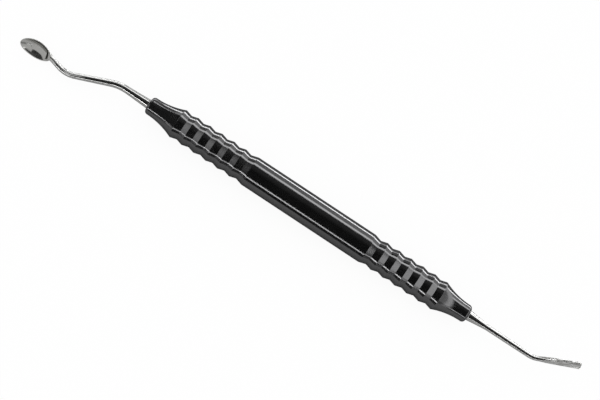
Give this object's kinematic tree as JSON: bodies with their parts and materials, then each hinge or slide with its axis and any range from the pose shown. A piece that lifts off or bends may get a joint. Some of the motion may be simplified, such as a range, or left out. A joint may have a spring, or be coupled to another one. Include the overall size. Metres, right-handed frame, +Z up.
{
  "type": "sinus lift curette",
  "caption": "Double-ended sinus lift curette: ribbed black metal handle, steel spoon on a twice-bent shank, and small angled flat blade.",
  "frame": {"origin": "on the handle's axis, halfway along its plain barrel", "axes": "+X along the handle towards the blade, +Z up with the part lying at rest, so the table is at Z = -4.5 mm; the spoon bends towards -Y and the blade towards +Y"},
  "size_m": [0.1798, 0.0111, 0.009],
  "materials": {
    "handle_black": "gloss black anodised",
    "tip_steel": "bright shank, satin ends"
  },
  "bodies": {
    "root": {"handle": "handle_black", "spoon_tip": "tip_steel", "blade_tip": "tip_steel"}
  },
  "joints": []
}
